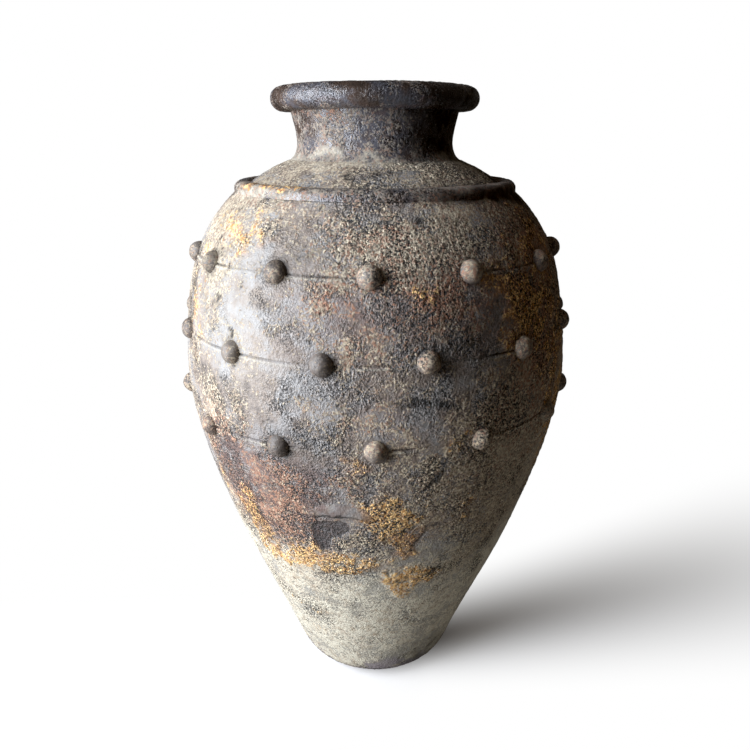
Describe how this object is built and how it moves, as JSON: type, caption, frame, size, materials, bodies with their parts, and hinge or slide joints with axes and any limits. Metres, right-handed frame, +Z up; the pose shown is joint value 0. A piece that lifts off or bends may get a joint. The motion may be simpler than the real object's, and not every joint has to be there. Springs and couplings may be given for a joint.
{
  "type": "clay storage jar",
  "caption": "Tall clay storage jar: narrow rolled foot, swelling belly with rows of pressed-on studs, a ridge round the shoulder, short waisted neck and thick rolled lip.",
  "frame": {"origin": "centre of the flat face that the jar stands on", "axes": "+Z up the jar's axis; -Y near the first stud of the upper and lower rows"},
  "size_m": [0.4998, 0.5089, 0.8],
  "materials": {
    "weathered_clay": "weathered, dusty crust over dark slip",
    "dark_slip_clay": "dark burnished slip, worn and speckled",
    "stud_clay": "worn slip with pale clay showing on the tops"
  },
  "bodies": {
    "root": {"foot": "weathered_clay", "foot_wall": "weathered_clay", "lower_wall": "weathered_clay", "middle_wall": "weathered_clay", "belly_wall": "weathered_clay", "shoulder_wall": "weathered_clay", "shoulder_cap": "weathered_clay", "shoulder_ridge": "dark_slip_clay", "neck": "dark_slip_clay", "rim": "dark_slip_clay", "upper_stud_01": "stud_clay", "upper_stud_02": "stud_clay", "upper_stud_03": "stud_clay", "upper_stud_04": "stud_clay", "upper_stud_05": "stud_clay", "upper_stud_06": "stud_clay", "upper_stud_07": "stud_clay", "upper_stud_08": "stud_clay", "upper_stud_09": "stud_clay", "upper_stud_10": "stud_clay", "upper_stud_11": "stud_clay", "upper_stud_12": "stud_clay", "upper_stud_13": "stud_clay", "upper_stud_14": "stud_clay", "middle_stud_01": "stud_clay", "middle_stud_02": "stud_clay", "middle_stud_03": "stud_clay", "middle_stud_04": "stud_clay", "middle_stud_05": "stud_clay", "middle_stud_06": "stud_clay", "middle_stud_07": "stud_clay", "middle_stud_08": "stud_clay", "middle_stud_09": "stud_clay", "middle_stud_10": "stud_clay", "middle_stud_11": "stud_clay", "middle_stud_12": "stud_clay", "middle_stud_13": "stud_clay", "middle_stud_14": "stud_clay", "lower_stud_01": "stud_clay", "lower_stud_02": "stud_clay", "lower_stud_03": "stud_clay", "lower_stud_04": "stud_clay", "lower_stud_05": "stud_clay", "lower_stud_06": "stud_clay", "lower_stud_07": "stud_clay", "lower_stud_08": "stud_clay", "lower_stud_09": "stud_clay", "lower_stud_10": "stud_clay", "lower_stud_11": "stud_clay", "lower_stud_12": "stud_clay", "lower_stud_13": "stud_clay", "lower_stud_14": "stud_clay"}
  },
  "joints": []
}
